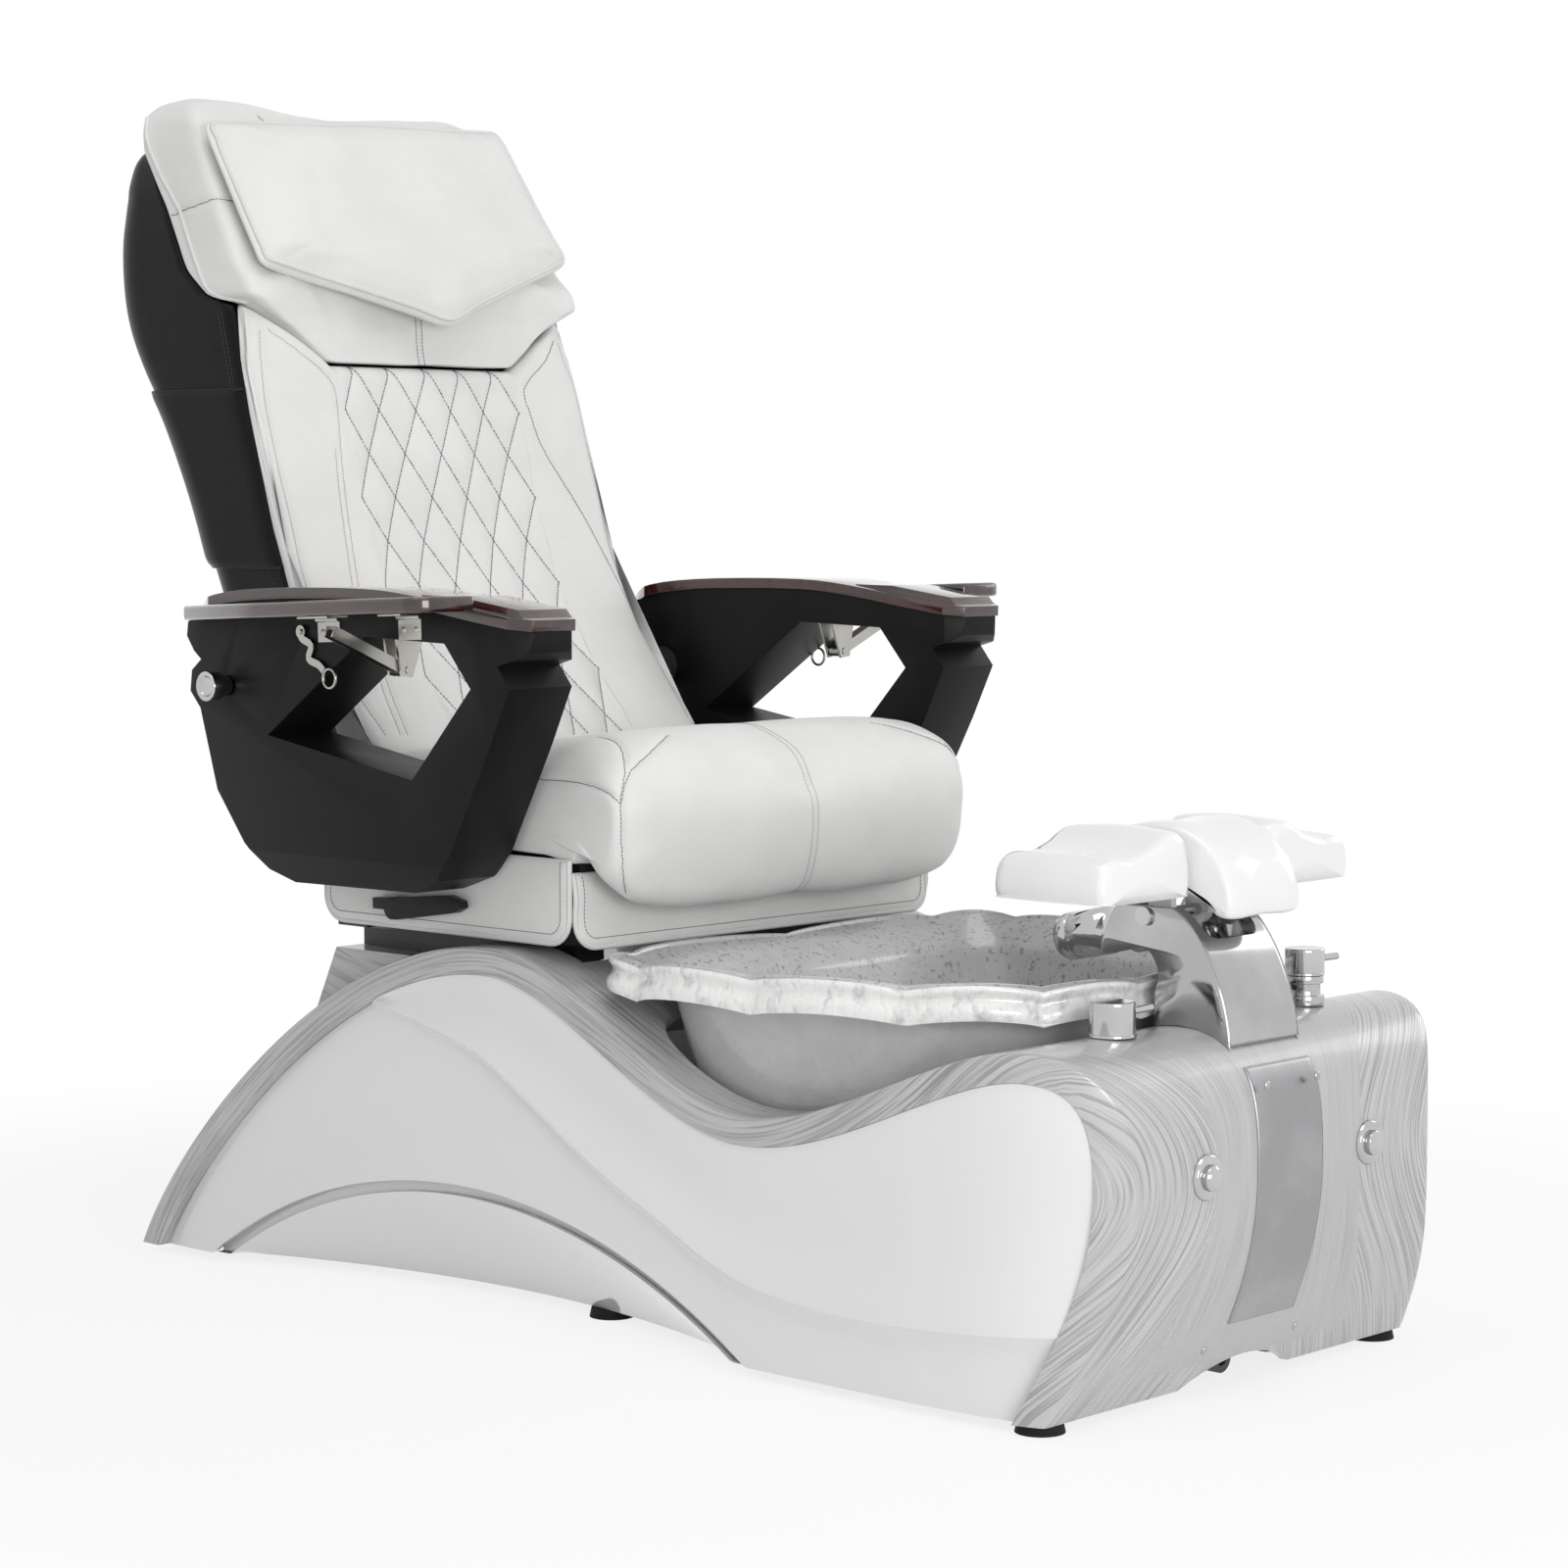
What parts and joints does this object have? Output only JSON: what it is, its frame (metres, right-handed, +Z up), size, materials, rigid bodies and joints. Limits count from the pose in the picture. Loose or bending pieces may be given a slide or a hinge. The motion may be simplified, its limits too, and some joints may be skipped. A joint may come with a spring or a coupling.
{
  "type": "pedicure spa chair",
  "caption": "Reclining massage chair on a sliding carriage over a wave-sided base with a scalloped foot tub, tilting footrest, lift-up arms and fold-down side trays.",
  "frame": {"origin": "floor, under the middle of the whole chair", "axes": "+X towards the sitter's left, the sitter faces -Y, +Z up"},
  "size_m": [0.914, 1.5343, 1.327],
  "materials": {
    "oak_laminate": "pale grey wood-grain film over a moulded shell",
    "white_gelcoat": "high-gloss white gelcoat",
    "brushed_plate": "satin brushed steel",
    "screw_steel": "zinc-plated pan-head screws",
    "frame_steel": "black powder coat",
    "foot_rubber": "black rubber foot on a threaded stem",
    "glazed_resin": "translucent grey moulded resin with fine speckle",
    "polished_chrome": "polished chrome",
    "tower_chrome": "mirror-polished sheet",
    "pump_plastic": "dark grey moulded housing",
    "jet_white": "white moulded impeller",
    "footrest_white": "gloss white self-skinned foam",
    "shower_chrome": "chromed plastic",
    "valve_brass": "cast brass",
    "white_vinyl": "white upholstery vinyl with matching stitching",
    "black_vinyl": "black upholstery vinyl over the shell",
    "lever_plastic": "black moulded lever",
    "actuator_case": "black actuator case",
    "rod_steel": "ground steel",
    "carriage_metal": "grey powder coat",
    "roller_plastic": "ivory moulded rollers on a steel shaft",
    "arm_polyurethane": "black moulded polyurethane, satin",
    "mahogany": "dark mahogany stain under gloss lacquer",
    "hinge_zinc": "bright zinc plate"
  },
  "bodies": {
    "base": {"base_shell": "oak_laminate", "side_panel_left": "white_gelcoat", "side_panel_right": "white_gelcoat", "kick_panel_left": "white_gelcoat", "kick_panel_right": "white_gelcoat", "access_plate": "brushed_plate", "plate_screws": "screw_steel", "base_frame": "frame_steel", "levelling_feet": "foot_rubber", "tub": "glazed_resin", "drain_strainer": "polished_chrome", "drain_pump": "pump_plastic", "jet_housing": "pump_plastic", "jet_cover": "polished_chrome", "footrest_tower": "tower_chrome", "tilt_pin": "polished_chrome", "valve_bodies": "valve_brass", "button_bezels": "polished_chrome", "slide_rails": "frame_steel"},
    "impeller": {"jet_impeller": "jet_white"},
    "footrest": {"footrest_saddle": "footrest_white", "footrest_pad_left": "footrest_white", "footrest_pad_right": "footrest_white"},
    "shower": {"hand_shower": "shower_chrome"},
    "mixer": {"mixer_knob": "polished_chrome"},
    "diverter": {"diverter_knob": "polished_chrome"},
    "jet_push": {"jet_button": "polished_chrome"},
    "light_push": {"light_button": "polished_chrome"},
    "seat": {"slide_runners": "frame_steel", "seat_frame": "frame_steel", "seat_cushion": "white_vinyl", "side_skirts": "white_vinyl", "front_apron": "white_vinyl"},
    "lever": {"slide_lever": "lever_plastic"},
    "actuator": {"actuator_body": "actuator_case"},
    "rod": {"actuator_rod": "rod_steel"},
    "back": {"back_frame": "frame_steel", "back_shell": "black_vinyl", "side_bands": "black_vinyl", "back_cushion": "white_vinyl", "head_pad": "white_vinyl", "pillow": "white_vinyl"},
    "carriage": {"massage_carriage": "carriage_metal"},
    "rollers": {"massage_rollers": "roller_plastic"},
    "arm_left": {"arm_body_left": "arm_polyurethane", "arm_cap_left": "mahogany", "tray_brackets_left": "hinge_zinc"},
    "release_left": {"arm_knob_left": "polished_chrome"},
    "table_left": {"tray_left": "mahogany", "tray_fittings_left": "hinge_zinc"},
    "strut_left": {"tray_strut_left": "hinge_zinc"},
    "latch_left": {"tray_latch_left": "hinge_zinc"},
    "arm_right": {"arm_body_right": "arm_polyurethane", "arm_cap_right": "mahogany", "tray_brackets_right": "hinge_zinc"},
    "release_right": {"arm_knob_right": "polished_chrome"},
    "table_right": {"tray_right": "mahogany", "tray_fittings_right": "hinge_zinc"},
    "strut_right": {"tray_strut_right": "hinge_zinc"},
    "latch_right": {"tray_latch_right": "hinge_zinc"}
  },
  "joints": [
    {"name": "seat_slide", "type": "slide", "parent": "base", "child": "seat", "axis": [0, 1, 0], "range_m": [0, 0.15]},
    {"name": "back_recline", "type": "hinge", "parent": "seat", "child": "back", "pos_m": [0, 0.308, 0.487], "axis": [-1, 0, 0], "range_deg": [0, 35]},
    {"name": "actuator_swing", "type": "hinge", "parent": "seat", "child": "actuator", "pos_m": [0, 0.018, 0.42], "axis": [1, 0, 0], "range_deg": [0, 2.8]},
    {"name": "rod_retract", "type": "slide", "parent": "actuator", "child": "rod", "axis": [0, -1, -0.0069], "range_m": [0, 0.0375]},
    {"name": "lever_press", "type": "hinge", "parent": "seat", "child": "lever", "pos_m": [-0.292, 0.204, 0.425], "axis": [1, 0, 0], "range_deg": [0, 12], "stiffness_Nm_per_rad": 2, "springref_deg": -11.46},
    {"name": "carriage_travel", "type": "slide", "parent": "back", "child": "carriage", "axis": [0, 0.3162, 0.9487], "range_m": [0, 0.26]},
    {"name": "rollers_turn", "type": "hinge", "parent": "carriage", "child": "rollers", "pos_m": [0, 0.448, 0.7], "axis": [1, 0, 0], "continuous": true},
    {"name": "footrest_tilt", "type": "hinge", "parent": "base", "child": "footrest", "pos_m": [0, -0.622, 0.46], "axis": [1, 0, 0], "range_deg": [-8, 12]},
    {"name": "shower_pull", "type": "slide", "parent": "base", "child": "shower", "axis": [0, 0.9783, -0.207], "range_m": [0, 0.15]},
    {"name": "mixer_turn", "type": "hinge", "parent": "base", "child": "mixer", "pos_m": [-0.156, -0.66, 0.37], "axis": [0, 0, 1], "range_deg": [0, 90]},
    {"name": "diverter_turn", "type": "hinge", "parent": "base", "child": "diverter", "pos_m": [0.156, -0.66, 0.4], "axis": [0, 0, 1], "range_deg": [0, 90]},
    {"name": "jet_press", "type": "slide", "parent": "base", "child": "jet_push", "axis": [0, 1, 0], "range_m": [0, 0.004], "stiffness_N_per_m": 500, "springref_m": -0.004},
    {"name": "light_press", "type": "slide", "parent": "base", "child": "light_push", "axis": [0, 1, 0], "range_m": [0, 0.004], "stiffness_N_per_m": 500, "springref_m": -0.004},
    {"name": "impeller_turn", "type": "hinge", "parent": "base", "child": "impeller", "pos_m": [0, -0.558, 0.216], "axis": [0, 1, 0], "continuous": true},
    {"name": "arm_lift_left", "type": "hinge", "parent": "seat", "child": "arm_left", "pos_m": [0.335, 0.378, 0.661], "axis": [-1, 0, 0], "range_deg": [0, 60]},
    {"name": "release_pull_left", "type": "slide", "parent": "arm_left", "child": "release_left", "axis": [1, 0, 0], "range_m": [0, 0.008], "stiffness_N_per_m": 400, "springref_m": -0.005},
    {"name": "tray_fold_left", "type": "hinge", "parent": "arm_left", "child": "table_left", "pos_m": [0.381, 0.143, 0.739], "axis": [0, 0.9991, -0.0419], "range_deg": [0, 75]},
    {"name": "strut_fold_left", "type": "hinge", "parent": "arm_left", "child": "strut_left", "pos_m": [0.34, 0.138, 0.684], "axis": [0, 1, 0], "range_deg": [0, 67.6]},
    {"name": "latch_pull_left", "type": "hinge", "parent": "arm_left", "child": "latch_left", "pos_m": [0.381, 0.251, 0.722], "axis": [-1, 0, 0], "range_deg": [0, 15], "stiffness_Nm_per_rad": 0.2, "springref_deg": -11.46},
    {"name": "arm_lift_right", "type": "hinge", "parent": "seat", "child": "arm_right", "pos_m": [-0.335, 0.378, 0.661], "axis": [-1, 0, 0], "range_deg": [0, 60]},
    {"name": "release_pull_right", "type": "slide", "parent": "arm_right", "child": "release_right", "axis": [-1, 0, 0], "range_m": [0, 0.008], "stiffness_N_per_m": 400, "springref_m": -0.005},
    {"name": "tray_fold_right", "type": "hinge", "parent": "arm_right", "child": "table_right", "pos_m": [-0.381, 0.143, 0.739], "axis": [0, -0.9991, 0.0419], "range_deg": [0, 75]},
    {"name": "strut_fold_right", "type": "hinge", "parent": "arm_right", "child": "strut_right", "pos_m": [-0.34, 0.138, 0.684], "axis": [0, -1, 0], "range_deg": [0, 67.6]},
    {"name": "latch_pull_right", "type": "hinge", "parent": "arm_right", "child": "latch_right", "pos_m": [-0.381, 0.251, 0.722], "axis": [-1, 0, 0], "range_deg": [0, 15], "stiffness_Nm_per_rad": 0.2, "springref_deg": -11.46}
  ],
  "couplings": [
    {"joint": "actuator_swing", "follows": "back_recline", "ratio": 0.078},
    {"joint": "rod_retract", "follows": "back_recline", "m_per_rad": 0.0604},
    {"joint": "strut_fold_left", "follows": "tray_fold_left", "ratio": 0.9},
    {"joint": "strut_fold_right", "follows": "tray_fold_right", "ratio": 0.9}
  ]
}
